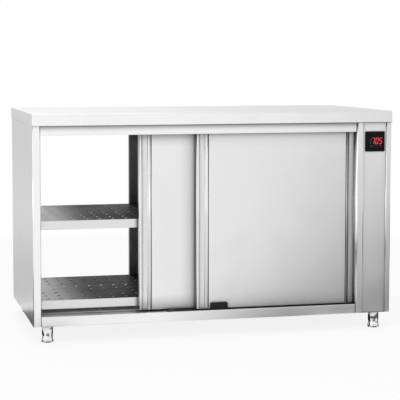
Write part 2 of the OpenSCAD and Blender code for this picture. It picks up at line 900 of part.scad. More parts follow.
module roller(x, y, rear, end) {
    edge = 0.6;
    color("white") at_rear(rear) at_roller(x, y, end)
        translate([0, roller_y, roller_z]) rotate([-90, 0, 0]) difference() {
            rotate_extrude() polygon([[0, 0], [roller_r - edge, 0], [roller_r, edge],
                [roller_r, roller_w - edge], [roller_r - edge, roller_w], [0, roller_w]]);
            translate([0, 0, -cut]) cylinder(h = roller_w + 2 * cut, r = axle_r + axle_clearance);
        }
}

// The left doors run in the inner lane, the right doors in the outer lane
front_left_x = left_closed_x + front_open;
rear_left_x = left_closed_x + rear_open;

module front_left_door_skin() door_skin(front_left_x, inner_door_y, false);
module front_left_door_liner() door_liner(front_left_x, inner_door_y, false);
module front_left_door_hangers() door_hangers(front_left_x, inner_door_y, false);
module front_left_roller_a() roller(front_left_x, inner_door_y, false, 0);
module front_left_roller_b() roller(front_left_x, inner_door_y, false, 1);
module front_right_door_skin() door_skin(right_closed_x, outer_door_y, false);
module front_right_door_liner() door_liner(right_closed_x, outer_door_y, false);
module front_right_door_hangers() door_hangers(right_closed_x, outer_door_y, false);
module front_right_roller_a() roller(right_closed_x, outer_door_y, false, 0);
module front_right_roller_b() roller(right_closed_x, outer_door_y, false, 1);
module rear_left_door_skin() door_skin(rear_left_x, inner_door_y, true);
module rear_left_door_liner() door_liner(rear_left_x, inner_door_y, true);
module rear_left_door_hangers() door_hangers(rear_left_x, inner_door_y, true);
module rear_left_roller_a() roller(rear_left_x, inner_door_y, true, 0);
module rear_left_roller_b() roller(rear_left_x, inner_door_y, true, 1);
module rear_right_door_skin() door_skin(right_closed_x, outer_door_y, true);
module rear_right_door_liner() door_liner(right_closed_x, outer_door_y, true);
module rear_right_door_hangers() door_hangers(right_closed_x, outer_door_y, true);
module rear_right_roller_a() roller(right_closed_x, outer_door_y, true, 0);
module rear_right_roller_b() roller(right_closed_x, outer_door_y, true, 1);

worktop();
worktop_stiffeners();
left_side_panel();
left_side_liner();
right_side_panel();
right_side_liner();
insulation();
control_panel();
rear_service_panel();
front_top_rail();
rear_top_rail();
front_bottom_rail();
rear_bottom_rail();
front_post();
rear_post();
floor_panel();
base_panel();
ceiling_panel();
front_track();
rear_track();
front_door_guide();
rear_door_guide();
upper_shelf();
lower_shelf();
shelf_uprights();
shelf_clips();
fan_motor();
fan_wheel();
heating_ring();
air_duct();
controller_case();
controller_glass();
terminal_block();
cable_gland();
leg_sockets();
leg_nuts();
foot_front_left();
foot_front_right();
foot_rear_left();
foot_rear_right();
front_left_door_skin();
front_left_door_liner();
front_left_door_hangers();
front_left_roller_a();
front_left_roller_b();
front_right_door_skin();
front_right_door_liner();
front_right_door_hangers();
front_right_roller_a();
front_right_roller_b();
rear_left_door_skin();
rear_left_door_liner();
rear_left_door_hangers();
rear_left_roller_a();
rear_left_roller_b();
rear_right_door_skin();
rear_right_door_liner();
rear_right_door_hangers();
rear_right_roller_a();
rear_right_roller_b();
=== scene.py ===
"""Looks of a pass-through plate warmer cabinet: folded stainless sheets, bright
turned feet, moulded guides and a touch controller, in a plain pale studio."""

import json
import math

import bmesh
import bpy
from mathutils import Matrix, Vector


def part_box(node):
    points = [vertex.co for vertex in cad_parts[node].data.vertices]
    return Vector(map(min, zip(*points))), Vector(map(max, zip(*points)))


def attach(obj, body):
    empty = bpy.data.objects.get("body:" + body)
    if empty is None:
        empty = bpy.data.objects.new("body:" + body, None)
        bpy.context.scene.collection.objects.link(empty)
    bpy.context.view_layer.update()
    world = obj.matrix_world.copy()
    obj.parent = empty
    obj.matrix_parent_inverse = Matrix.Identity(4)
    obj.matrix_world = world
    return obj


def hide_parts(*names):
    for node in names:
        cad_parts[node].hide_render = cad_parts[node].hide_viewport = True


bl_info = {
    "name": "Plate Warmer Cabinet",
    "version": (1, 0, 0),
    "blender": (4, 5, 0),
    "location": "View3D > Sidebar > Plate Warmer",
    "description": "Dresses the plate warmer cabinet and sets up its studio",
    "category": "Object",
}

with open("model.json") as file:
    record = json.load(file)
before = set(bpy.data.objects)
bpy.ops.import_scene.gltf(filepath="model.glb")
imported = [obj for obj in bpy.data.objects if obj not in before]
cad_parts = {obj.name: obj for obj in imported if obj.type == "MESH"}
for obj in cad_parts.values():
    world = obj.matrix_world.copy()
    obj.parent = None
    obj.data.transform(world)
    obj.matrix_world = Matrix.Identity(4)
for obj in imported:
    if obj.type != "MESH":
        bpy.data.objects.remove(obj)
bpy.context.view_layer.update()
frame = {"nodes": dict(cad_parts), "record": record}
DOORS = FEET = ("front_left", "front_right", "rear_left", "rear_right")

# In metres: start and end of a door's groove from the door's edge, and the width of the returns
# of side panels and posts and of the flanges inside the side panels.
GROOVE = (0.045, 0.048)
RETURN = 0.009
FLANGE = 0.020

# Outlines of turned parts: radius and height in millimetres, from point to point of the outline.
FOOT = ((0, 0), (18.4, 0), (20.2, 0.2), (21.2, 0.8), (21.8, 1.8), (22, 3.2), (22, 5.0), (21.7, 7.4),
        (21.2, 10.0), (20.6, 12.8), (20.0, 15.6), (19.5, 18.4), (19.2, 21.2), (19.1, 23.5),
        (18.8, 24), (7, 24), (7, 42), (0, 42))
SLEEVE_BORE = ((0, 47), (6, 46.4), (7.06, 46), (7.06, 24.6), (7.4, 24.3))
SLEEVE_SIDE = ((18.9, 24.3), (19.2, 24.5), (19.4, 25.4), (19.8, 27.4), (20.3, 29.4), (20.6, 31.0),
               (20.8, 32.8), (20.8, 34.4), (20.7, 36.6), (20.5, 40.0))
GUIDE_SCREW = ((0, -0.4), (1.2, -0.4), (1.4, 0.5), (2.2, 0.6), (3.4, 0.3), (3.7, 0), (3.7, -0.4),
               (1.9, -2.2), (1.9, -3), (0, -3))

# Bars of each figure: a to f go clockwise from the upper one, and g is the middle one.
BARS = {"0": "abcdef", "1": "bc", "5": "acdfg", "7": "abc"}
FIGURES = "705"
LIT_HEIGHT, MARK_HEIGHT = 0.00012, 0.0001
# Touch marks on the glass, from left to right: number of sides, radius and turn.
TOUCH_MARKS = ((24, 0.0022, 0), (3, 0.0024, math.pi / 2), (3, 0.0024, -math.pi / 2),
               (6, 0.0024, math.pi))
MARK_PITCH = 0.0125

# Grey levels: the dome, the floor, and what gloss sees of the floor: the painted shadow below the
# cabinet and the painted streak straight out of a leg.
DOME, FLOOR, UNDER, LEG_STREAK = 0.75, 0.86, 0.06, 0.32
# Name, place, width and power of each softbox.
SOFTBOXES = (("overhead_softbox", (-0.6, -0.8, 3.6), 3.0, 25),
             ("left_softbox", (-3.4, -2.6, 2.0), 2.4, 40))
LAMP_TARGET = (0, 0, 0.4)
CAMERA_PLACE = (-1.2984, -5.2938, 1.0473)
CAMERA_LENS, CAMERA_SHIFT = 122.31, (0.05, -0.08)
# Degrees that the camera looks down, and to the right.
CAMERA_DOWN, CAMERA_RIGHT = 4.549, 13.128


# ---- Values that a user may change ----


class CabinetSizes(bpy.types.PropertyGroup):
    """Sizes of the folds, fasteners and figures"""

    sheet: bpy.props.FloatProperty(
        name="Sheet", description="Thickness of the folded door sheet",
        default=0.0012, min=0.0006, max=0.002, unit="LENGTH", subtype="DISTANCE")
    worktop_sheet: bpy.props.FloatProperty(
        name="Worktop sheet", description="Thickness of the worktop sheet",
        default=0.0015, min=0.0008, max=0.003, unit="LENGTH", subtype="DISTANCE")
    fold_radius: bpy.props.FloatProperty(
        name="Fold radius", description="Outer radius of the folds of a door",
        default=0.0016, min=0.0003, max=0.003, unit="LENGTH", subtype="DISTANCE")
    frame_radius: bpy.props.FloatProperty(
        name="Frame fold", description="Outer radius of the folds of the side panels and posts",
        default=0.0028, min=0.002, max=0.004, unit="LENGTH", subtype="DISTANCE")
    jamb_radius: bpy.props.FloatProperty(
        name="Jamb fold radius", description="Fold of the posts at the doorway",
        default=0.0078, min=0.002, max=0.008, unit="LENGTH", subtype="DISTANCE")
    worktop_radius: bpy.props.FloatProperty(
        name="Worktop edge", description="Outer radius of the long worktop edges",
        default=0.003, min=0.001, max=0.005, unit="LENGTH", subtype="DISTANCE")
    worktop_flange: bpy.props.FloatProperty(
        name="Worktop flange", description="Width of the flange folded in below the worktop edge",
        default=0.024, min=0.01, max=0.05, unit="LENGTH", subtype="DISTANCE")
    soft_edge: bpy.props.FloatProperty(
        name="Soft edge", description="Radius that the shading gives to the edges of the plain sheets",
        default=0.0024, min=0.0, max=0.004, unit="LENGTH", subtype="DISTANCE")
    screw_radius: bpy.props.FloatProperty(
        name="Screw head", description="Radius of a screw head on the service panel",
        default=0.0042, min=0.002, max=0.008, unit="LENGTH", subtype="DISTANCE")
    figure_height: bpy.props.FloatProperty(
        name="Figure height", description="Height of the figures of the controller",
        default=0.0255, min=0.01, max=0.04, unit="LENGTH", subtype="DISTANCE")
    figure_lean: bpy.props.FloatProperty(
        name="Figure lean", description="Lean of the figures of the controller",
        default=math.radians(12), min=0, max=0.5, unit="ROTATION", subtype="ANGLE")


class CabinetColours(bpy.types.PropertyGroup):
    """Colours of the finishes"""

    steel: bpy.props.FloatVectorProperty(
        name="Steel", description="Brushed stainless steel of the outside",
        default=(0.945, 0.945, 0.948), size=3, min=0, max=1, subtype="COLOR")
    # Painted shade: the liner is far darker than the outer steel, to stand for the shade inside the
    # cabinet.
    liner: bpy.props.FloatVectorProperty(
        name="Liner", description="Dull sheet of the inside",
        default=(0.52, 0.52, 0.525), size=3, min=0, max=1, subtype="COLOR")
    shelf: bpy.props.FloatVectorProperty(
        name="Shelf", description="Sheet of the punched shelves",
        default=(0.80, 0.80, 0.805), size=3, min=0, max=1, subtype="COLOR")
    polish: bpy.props.FloatVectorProperty(
        name="Polished steel", description="Bright legs and feet",
        default=(0.88, 0.88, 0.89), size=3, min=0, max=1, subtype="COLOR")
    figures: bpy.props.FloatVectorProperty(
        name="Figures", description="Lit figures of the controller",
        default=(0.80, 0.03, 0.03), size=3, min=0, max=1, subtype="COLOR")
    plastic: bpy.props.FloatVectorProperty(
        name="Black plastic", description="Door guides and cable gland",
        default=(0.012, 0.012, 0.013), size=3, min=0, max=1, subtype="COLOR")


# ---- Node helpers ----


def add_node(tree, kind, inputs=None, **settings):
    """Adds a shader node of a kind, and sets its settings and the values of its inputs."""
    made = tree.nodes.new("ShaderNode" + kind)
    for key, value in settings.items():
        setattr(made, key, value)
    for key, value in (inputs or {}).items():
        made.inputs[key].default_value = value
    return made


def feed(value, socket):
    """Sets a node's input from a number or a colour, or links it to another node's output."""
    if isinstance(value, (int, float)):
        socket.default_value = value
    elif isinstance(value, tuple):
        socket.default_value = (*value, 1.0)
    else:
        socket.id_data.links.new(value, socket)


def new_group(name, inputs, outputs):
    """A shader node group with named sockets; returns the tree and its two ends."""
    tree = bpy.data.node_groups.new(name, "ShaderNodeTree")
    kinds = {"value": "NodeSocketFloat", "vector": "NodeSocketVector"}
    for label, kind, default in inputs:
        socket = tree.interface.new_socket(name=label, in_out="INPUT", socket_type=kinds[kind])
        socket.default_value = default
    for label, kind in outputs:
        tree.interface.new_socket(name=label, in_out="OUTPUT", socket_type=kinds[kind])
    return tree, tree.nodes.new("NodeGroupInput"), tree.nodes.new("NodeGroupOutput")


def math_node(tree, operation, first, second=None, clamp=False):
    """A maths node between two sockets or numbers; returns its output."""
    made = add_node(tree, "Math", operation=operation, use_clamp=clamp)
    for index, value in enumerate((first, second)):
        if value is not None:
            feed(value, made.inputs[index])
    return made.outputs[0]


def multiply(tree, first, second):
    """The product of two numbers or sockets; returns the output."""
    return math_node(tree, "MULTIPLY", first, second)


def map_range(tree, value, low, high, to_low, to_high, kind="LINEAR"):
    """Maps a value from one range to another, held at both ends; returns the output."""
    made = add_node(tree, "MapRange", interpolation_type=kind)
    for index, each in enumerate((value, low, high, to_low, to_high)):
        feed(each, made.inputs[index])
    return made.outputs[0]


def ramp(tree, value, low, high, to_low=0.0, to_high=1.0):
    """Maps a value from one range to another with soft ends; returns the output."""
    return map_range(tree, value, low, high, to_low, to_high, "SMOOTHSTEP")


def mix_values(tree, factor, first, second):
    """Mixes two numbers or sockets by a factor; returns the output."""
    made = add_node(tree, "Mix", data_type="FLOAT")
    for index, value in ((0, factor), (2, first), (3, second)):
        feed(value, made.inputs[index])
    return made.outputs[0]


def mix_colours(tree, factor, first, second, blend="MIX"):
    """Mixes two colours or sockets by a factor; returns the output."""
    made = add_node(tree, "Mix", data_type="RGBA", blend_type=blend)
    for index, value in ((0, factor), (6, first), (7, second)):
        feed(value, made.inputs[index])
    return made.outputs[2]


def object_place(tree):
    """Where the surface is, in the object's own coordinates."""
    return add_node(tree, "TexCoord").outputs["Object"]


def axes(tree, vector):
    """The three parts of a vector, as outputs named X, Y and Z."""
    split = add_node(tree, "SeparateXYZ")
    feed(vector, split.inputs[0])
    return split.outputs


def noise(tree, vector, scale, **inputs):
    """A noise texture over a vector; returns its value."""
    made = add_node(tree, "TexNoise", inputs)
    feed(vector, made.inputs["Vector"])
    feed(scale, made.inputs["Scale"])
    return made.outputs[0]


def build_grain_group():
    """Brush lines along a sheet: tone and height, stretched by a vector, and wide clouds."""
    tree, start, end = new_group(
        "brush_grain",
        [("Stretch", "vector", (8.0, 900.0, 900.0)), ("Cloud size", "value", 3.0)],
        [("Tone", "value"), ("Height", "value"), ("Cloud", "value")])
    place = object_place(tree)
    stretched = add_node(tree, "VectorMath", operation="MULTIPLY")
    feed(place, stretched.inputs[0])
    feed(start.outputs["Stretch"], stretched.inputs[1])
    fine = noise(tree, stretched.outputs[0], 1.0, Detail=3.0, Roughness=0.7)
    wide = noise(tree, stretched.outputs[0], 0.12, Detail=2.0, Roughness=0.5)
    cloud = noise(tree, place, start.outputs["Cloud size"], Detail=2.0, Roughness=0.45)
    lines = mix_values(tree, 0.4, fine, wide)
    feed(map_range(tree, lines, 0.3, 0.7, 0.0, 1.0), end.inputs["Tone"])
    feed(lines, end.inputs["Height"])
    feed(ramp(tree, cloud, 0.3, 0.7), end.inputs["Cloud"])


def build_edge_group():
    """Rounded normals at the edges of a plain sheet, and a mask of those edges."""
    tree, start, end = new_group(
        "soft_edges", [("Radius", "value", 0.0012)], [("Normal", "vector"), ("Edge", "value")])
    rounded = add_node(tree, "Bevel", samples=6)
    feed(start.outputs["Radius"], rounded.inputs["Radius"])
    face = add_node(tree, "NewGeometry")
    meet = add_node(tree, "VectorMath", operation="DOT_PRODUCT")
    feed(rounded.outputs[0], meet.inputs[0])
    feed(face.outputs["Normal"], meet.inputs[1])
    feed(rounded.outputs[0], end.inputs["Normal"])
    feed(map_range(tree, meet.outputs["Value"], 0.98, 0.80, 0.0, 1.0), end.inputs["Edge"])


def build_handling_group():
    """Soft smears that hands and cloths leave: a mask for the roughness."""
    tree, start, end = new_group(
        "handling", [("Size", "value", 7.0), ("Cover", "value", 0.5)], [("Smear", "value")])
    smear = noise(tree, object_place(tree), start.outputs["Size"],
                  Detail=4.0, Roughness=0.6, Distortion=0.8)
    cover = start.outputs["Cover"]
    feed(ramp(tree, smear, cover, math_node(tree, "ADD", cover, 0.25)), end.inputs["Smear"])


def build_speckle_group():
    """Fine even texture of moulded plastic, cast parts and enamel."""
    tree, start, end = new_group(
        "speckle", [("Size", "value", 900.0)], [("Height", "value"), ("Tone", "value")])
    place = object_place(tree)
    feed(noise(tree, place, start.outputs["Size"], Detail=2.0, Roughness=0.6), end.inputs["Height"])
    wide = noise(tree, place, 14.0, Detail=3.0)
    feed(map_range(tree, wide, 0.3, 0.7, 0.0, 1.0), end.inputs["Tone"])


def build_spangle_group():
    """The flowered crystals of zinc coated sheet: one tone for each crystal."""
    tree, start, end = new_group("zinc_spangle", [("Size", "value", 90.0)], [("Tone", "value")])
    cells = add_node(tree, "TexVoronoi", {"Randomness": 1.0}, feature="F1")
    feed(object_place(tree), cells.inputs["Vector"])
    feed(start.outputs["Size"], cells.inputs["Scale"])
    parts = add_node(tree, "SeparateColor")
    feed(cells.outputs["Color"], parts.inputs[0])
    feed(parts.outputs[0], end.inputs["Tone"])


def build_shade_group():
    """Painted shade: soft dark lines where sheets meet, in folds and under edges, as a factor for the
    colour.
    """
    tree, start, end = new_group(
        "contact_shade", [("Reach", "value", 0.02), ("Depth", "value", 0.6)], [("Shade", "value")])
    near_by = add_node(tree, "AmbientOcclusion", samples=6, only_local=False)
    feed(start.outputs["Reach"], near_by.inputs["Distance"])
    open_part = math_node(tree, "POWER", near_by.outputs["AO"], 2.0)
    closed = multiply(tree, math_node(tree, "SUBTRACT", 1.0, open_part), start.outputs["Depth"])
    feed(math_node(tree, "SUBTRACT", 1.0, closed, clamp=True), end.inputs["Shade"])


def group_node(tree, name, **values):
    """Places a group in a material, with its own values; returns its outputs."""
    made = add_node(tree, "Group", node_tree=bpy.data.node_groups[name])
    for key, value in values.items():
        made.inputs[key.replace("_", " ")].default_value = value
    return made.outputs


def start_material(name, base, **constants):
    """A new material with one Principled shader; returns its tree and the shader."""
    material = bpy.data.materials.new(name)
    material.use_nodes = True
    tree = material.node_tree
    shader = tree.nodes["Principled BSDF"]
    shader.inputs["Base Color"].default_value = (*base, 1.0)
    for key, value in constants.items():
        shader.inputs[key.replace("_", " ")].default_value = value
    material.diffuse_color = (*base, 1.0)
    return tree, shader


def scaled(colour, factor, lift=0.0):
    """A lighter or darker colour."""
    return tuple(min(1.0, c * factor + lift) for c in colour)


def source(shader, name):
    """The output that feeds an input of the shader."""
    return shader.inputs[name].links[0].from_socket


def tint(tree, base, spread, mask, shader):
    """Feeds the shader a base colour that a mask makes a little darker or lighter; returns it."""
    colour = mix_colours(tree, mask, scaled(base, 1 - spread), scaled(base, 1 + spread))
    feed(colour, shader.inputs["Base Color"])
    return colour


def shaded(tree, colour, shader, reach, depth):
    """Paints shade into a colour where other sheets come close, and feeds it to the shader."""
    shade = group_node(tree, "contact_shade", Reach=reach, Depth=depth)["Shade"]
    feed(mix_colours(tree, 1.0, colour, shade, "MULTIPLY"), shader.inputs["Base Color"])


def roughen(tree, shader, mask, low, high, smear=None, depth=0.0):
    """Feeds the shader a roughness that follows a mask, with smears on top where they are given."""
    rough = map_range(tree, mask, 0.0, 1.0, low, high)
    if smear is not None:
        rough = math_node(tree, "ADD", rough, multiply(tree, smear, depth), clamp=True)
    feed(rough, shader.inputs["Roughness"])


def bump(tree, height, shader, strength, distance, normal=None):
    """Feeds a height to the shader's normal, over another normal where one is given."""
    made = add_node(tree, "Bump", {"Strength": strength, "Distance": distance})
    feed(height, made.inputs["Height"])
    if normal is not None:
        feed(normal, made.inputs["Normal"])
    feed(made.outputs[0], shader.inputs["Normal"])


# ---- Finishes ----


def steel_finish(name, base, roughness, stretch, edge, soften=True, spread=0.03,
                 reach=0.03, depth=0.75, metallic=1.0):
    """Brushed or rolled sheet: brush lines, cloudy tone, smears, painted edge highlights and painted
    contact shade.
    """
    tree, shader = start_material(name, base, Metallic=metallic)
    grain = group_node(tree, "brush_grain", Stretch=stretch, Cloud_size=2.6)
    smear = group_node(tree, "handling", Size=5.0, Cover=0.45)["Smear"]
    highlight_cover, highlight_gain = 0.6, 1.12
    colour = tint(tree, base, spread, mix_values(tree, 0.45, grain["Tone"], grain["Cloud"]), shader)
    normal = None
    if soften:
        edges = group_node(tree, "soft_edges", Radius=edge)
        # Painted highlight: the colour goes lighter along the rounded edges.
        edge_highlight = multiply(tree, edges["Edge"], highlight_cover)
        colour = mix_colours(tree, edge_highlight, colour, scaled(base, highlight_gain))
        normal = edges["Normal"]
    shaded(tree, colour, shader, reach, depth)
    roughen(tree, shader, grain["Tone"], roughness - 0.03, roughness + 0.03, smear, 0.05)
    bump(tree, grain["Height"], shader, 0.12, 0.0002, normal)
    return tree, shader


def rail_shadow_finish(name, base, roughness, stretch, edge, top, fade):
    """Sheet of a rail with a painted shadow just below the worktop."""
    tree, shader = steel_finish(name, base, roughness, stretch, edge, reach=0.04, depth=0.9)
    height = axes(tree, object_place(tree))["Z"]
    # Painted shadow: the colour is halved at the top of the rail and fades out over the given length
    # below.
    under_shade = mix_colours(tree, ramp(tree, height, top - fade, top), source(shader, "Base Color"),
                         (0.50, 0.50, 0.50), "MULTIPLY")
    feed(under_shade, shader.inputs["Base Color"])


def shelf_finish(name, base, roughness, stretch, edge):
    """Punched shelf sheet: a painted highlight on its folded edge, and painted shade on its top, darker
    towards +x.
    """
    tree, shader = steel_finish(name, base, roughness, stretch, edge, spread=0.05, reach=0.02)
    facing = add_node(tree, "NewGeometry").outputs["True Normal"]
    top = map_range(tree, axes(tree, facing)["Z"], 0.5, 0.9, 0.0, 1.0)
    # Painted shade: the top is darkened, far more towards +x, and gets rougher there too.
    shade_from, shade_to, shade_rough = -0.63, -0.42, 0.22
    painted_shade = ramp(tree, axes(tree, object_place(tree))["X"], shade_from, shade_to)
    shade_tones = mix_colours(tree, painted_shade, (0.44, 0.44, 0.44), (0.028, 0.028, 0.029))
    shaded_top = mix_colours(tree, top, source(shader, "Base Color"), shade_tones, "MULTIPLY")
    feed(shaded_top, shader.inputs["Base Color"])
    under_shade = multiply(tree, multiply(tree, top, painted_shade), shade_rough)
    rough = math_node(tree, "ADD", source(shader, "Roughness"), under_shade, clamp=True)
    feed(rough, shader.inputs["Roughness"])


def zinc_finish(name):
    """Zinc coated sheet with its crystals."""
    base = (0.56, 0.57, 0.58)
    tree, shader = start_material(name, base, Metallic=1.0)
    tone = group_node(tree, "zinc_spangle", Size=85.0)["Tone"]
    tint(tree, base, 0.10, tone, shader)
    roughen(tree, shader, tone, 0.34, 0.5)
    bump(tree, group_node(tree, "speckle", Size=500.0)["Height"], shader, 0.1, 0.0002)


def polish_finish(name, base):
    """Polished stainless tube and turned feet: mirror bright, with faint turning lines."""
    tree, shader = start_material(name, base, Metallic=1.0)
    grain = group_node(tree, "brush_grain", Stretch=(25.0, 25.0, 1400.0), Cloud_size=9.0)
    smear = group_node(tree, "handling", Size=40.0, Cover=0.5)["Smear"]
    shaded(tree, tint(tree, base, 0.02, grain["Cloud"], shader), shader, 0.02, 0.6)
    roughen(tree, shader, grain["Tone"], 0.07, 0.10, smear, 0.03)
    bump(tree, grain["Height"], shader, 0.02, 0.0001)


def plastic_finish(name, base, roughness, size=1100.0, spread=0.12, height=0.00012, gloss=0.5):
    """Moulded plastic or enamel with a fine texture and rubbed edges."""
    tree, shader = start_material(name, base, Metallic=0.0, Specular_IOR_Level=gloss)
    speckle = group_node(tree, "speckle", Size=size)
    edges = group_node(tree, "soft_edges", Radius=0.0008)
    colour = tint(tree, base, spread, speckle["Tone"], shader)
    rub_cover, rub_gain, rub_lift = 0.5, 1.5, 0.01
    rubbed = mix_colours(tree, multiply(tree, edges["Edge"], rub_cover), colour,
                         scaled(base, rub_gain, rub_lift))
    feed(rubbed, shader.inputs["Base Color"])
    roughen(tree, shader, speckle["Tone"], roughness - 0.05, roughness + 0.05)
    bump(tree, speckle["Height"], shader, 0.25, height, edges["Normal"])


def wool_finish(name):
    """Mineral wool slab: matted fibres, yellow with pale and brown tufts."""
    base = (0.50, 0.42, 0.20)
    tree, shader = start_material(name, base, Metallic=0.0, Roughness=0.95)
    fibres = group_node(tree, "brush_grain", Stretch=(60.0, 420.0, 420.0), Cloud_size=30.0)
    tint(tree, base, 0.35, fibres["Tone"], shader)
    bump(tree, fibres["Height"], shader, 0.9, 0.003)


def heater_finish(name):
    """Heating tube, dulled and blued by heat."""
    base = (0.20, 0.17, 0.15)
    tree, shader = start_material(name, base, Metallic=1.0)
    smear = group_node(tree, "handling", Size=26.0, Cover=0.4)["Smear"]
    feed(mix_colours(tree, smear, base, (0.16, 0.17, 0.24)), shader.inputs["Base Color"])
    roughen(tree, shader, smear, 0.55, 0.38)
    bump(tree, group_node(tree, "speckle", Size=700.0)["Height"], shader, 0.3, 0.0002)


def glass_finish(name):
    """Black control glass: deep gloss, with a few faint finger smears."""
    base = (0.004, 0.004, 0.005)
    tree, shader = start_material(name, base, Metallic=0.0, IOR=1.45, Specular_IOR_Level=0.12)
    smear = group_node(tree, "handling", Size=55.0, Cover=0.48)["Smear"]
    tint(tree, base, 0.2, smear, shader)
    roughen(tree, shader, smear, 0.04, 0.16)


def lamp_finish(name, base, glow):
    """Lit or printed marks behind the control glass."""
    tree, shader = start_material(name, base, Metallic=0.0, Roughness=0.35, Emission_Strength=glow)
    speckle = group_node(tree, "speckle", Size=1500.0)
    feed(tint(tree, base, 0.10, speckle["Tone"], shader), shader.inputs["Emission Color"])
    bump(tree, speckle["Height"], shader, 0.1, 0.00005)


def build_materials(sizes, colours):
    """Every finish of the cabinet, by name."""
    for build in (build_grain_group, build_edge_group, build_handling_group,
                  build_speckle_group, build_spangle_group, build_shade_group):
        build()
    steel = tuple(colours.steel)
    along, upright = (7.0, 900.0, 900.0), (900.0, 900.0, 7.0)
    edge = sizes.soft_edge
    steel_finish("steel_lengthwise", steel, 0.30, along, edge)
    rail_shadow_finish("steel_shadowed_under_worktop", steel, 0.30, along, edge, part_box("front_top_rail")[1][2], 0.024)
    steel_finish("steel_upright", steel, 0.30, upright, edge, reach=0.02, depth=0.7)
    # Painted shade: the doors take a copy of the steel made a little darker.
    steel_finish("steel_folded", scaled(steel, 0.92), 0.30, upright, edge, soften=False,
                 reach=0.06, depth=0.9)
    steel_finish("steel_frame", steel, 0.30, upright, edge, soften=False, reach=0.012, depth=0.6)
    steel_finish("steel_worktop", steel, 0.30, along, edge, soften=False)
    # The liner's dark colour is painted shade.
    steel_finish("liner_sheet", tuple(colours.liner), 0.38, upright, edge, spread=0.05, reach=0.08)
    steel_finish("floor_sheet", (0.88, 0.88, 0.885), 0.50, along, edge, spread=0.05,
                 reach=0.01, depth=0.2, metallic=0.35)
    shelf_finish("shelf_sheet", tuple(colours.shelf), 0.34, along, edge)
    zinc_finish("zinc_coat")
    polish_finish("bright_polish", tuple(colours.polish))
    wool_finish("mineral_wool_slab")
    plastic_finish("black_nylon_mould", tuple(colours.plastic), 0.42, gloss=0.2)
    plastic_finish("white_nylon_mould", (0.78, 0.78, 0.75), 0.5, spread=0.03)
    plastic_finish("motor_enamel", (0.03, 0.03, 0.033), 0.4, size=260.0, height=0.0003)
    plastic_finish("dark_case_mould", (0.03, 0.03, 0.033), 0.55)
    plastic_finish("pale_terminal_mould", (0.66, 0.63, 0.52), 0.5, spread=0.05)
    heater_finish("heat_dulled_tube")
    glass_finish("control_glass")
    lamp_finish("lit_figures", tuple(colours.figures), 0.7)
    lamp_finish("printed_marks", (0.10, 0.10, 0.105), 0.0)


SLOT_FINISH = {
    "brushed_steel": "steel_upright", "liner_steel": "liner_sheet", "shelf_steel": "shelf_sheet",
    "zinc_sheet": "zinc_coat", "polished_steel": "bright_polish", "mineral_wool": "mineral_wool_slab",
    "black_nylon": "black_nylon_mould", "white_nylon": "white_nylon_mould",
    "motor_paint": "motor_enamel", "heater_steel": "heat_dulled_tube",
    "case_plastic": "dark_case_mould", "black_glass": "control_glass",
    "terminal_plastic": "pale_terminal_mould",
}
NODE_FINISH = {
    "front_top_rail": "steel_shadowed_under_worktop", "rear_top_rail": "steel_shadowed_under_worktop",
    "front_bottom_rail": "steel_lengthwise", "rear_bottom_rail": "steel_lengthwise",
    "floor_panel": "floor_sheet",
}


# ---- Mesh helpers ----


def near(a, b):
    """Whether two lengths are the same, to a hundredth of a millimetre."""
    return abs(a - b) < 1e-5


def corners(node):
    """The lowest and highest corners of a CAD node, as vectors."""
    return [Vector(corner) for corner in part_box(node)]


def box_at(bm, low, high):
    """A box between two corners, as part of a bmesh; returns its vertices."""
    low, high = Vector(low), Vector(high)
    made = bmesh.ops.create_cube(bm, size=1.0)["verts"]
    bmesh.ops.scale(bm, vec=high - low, verts=made)
    bmesh.ops.translate(bm, vec=(low + high) / 2, verts=made)
    return made


def round_edges(bm, edges, radius, segments=3):
    """Bevels the edges, and smooths only the new strips, so that flat sheets stay flat."""
    made = bmesh.ops.bevel(bm, geom=edges, offset=radius, offset_type="OFFSET", segments=segments,
                           profile=0.5, affect="EDGES", material=-1, clamp_overlap=True)
    slack = 1.3
    widest = radius * math.pi / 2 / segments * slack
    for face in made["faces"]:
        longest = max(edge.calc_length() for edge in face.edges)
        face.smooth = face.calc_area() < widest * longest


def edges_where(bm, test):
    """The edges whose two ends both pass a test, and that join two faces."""
    return [e for e in bm.edges if len(e.link_faces) == 2 and all(test(v.co) for v in e.verts)]


def raise_by(bm, parts, vector):
    """Extrudes edges into walls, or faces into a block, by a vector; returns the new vertices."""
    if isinstance(parts[0], bmesh.types.BMEdge):
        made = bmesh.ops.extrude_edge_only(bm, edges=parts)["geom"]
    else:
        made = bmesh.ops.extrude_face_region(bm, geom=parts)["geom"]
    moved = [part for part in made if isinstance(part, bmesh.types.BMVert)]
    bmesh.ops.translate(bm, vec=vector, verts=moved)
    return moved


def raise_plan(bm, plan, bottom, top):
    """Raises a plan of (x, y) points into an open sheet: its outer face only."""
    line = [bm.verts.new((x, y, bottom)) for x, y in plan]
    edges = [bm.edges.new(pair) for pair in zip(line, line[1:])]
    raise_by(bm, edges, (0, 0, top - bottom))


def fold_sheet(bm, plan, bottom, top, radii):
    """Raises a plan into a sheet and rounds each of its folds with a radius of its own."""
    raise_plan(bm, plan, bottom, top)
    for (x, y), radius in zip(plan[1:-1], radii):
        round_edges(bm, edges_where(bm, lambda co: near(co.x, x) and near(co.y, y)), radius, 5)


def turned(outline, segments, smooth=False):
    """A new bmesh: an outline of (radius, height) points in millimetres, spun round the z axis."""
    bm = bmesh.new()
    points = [bm.verts.new((r / 1000, 0.0, z / 1000)) for r, z in outline]
    edges = [bm.edges.new(pair) for pair in zip(points, points[1:])]
    bmesh.ops.spin(bm, geom=points + edges, cent=(0, 0, 0), axis=(0, 0, 1), dvec=(0, 0, 0),
                   angle=math.tau, steps=segments, use_merge=True, use_duplicate=False)
    bmesh.ops.remove_doubles(bm, verts=bm.verts[:], dist=1e-7)
    for face in bm.faces:
        face.smooth = smooth
    return bm


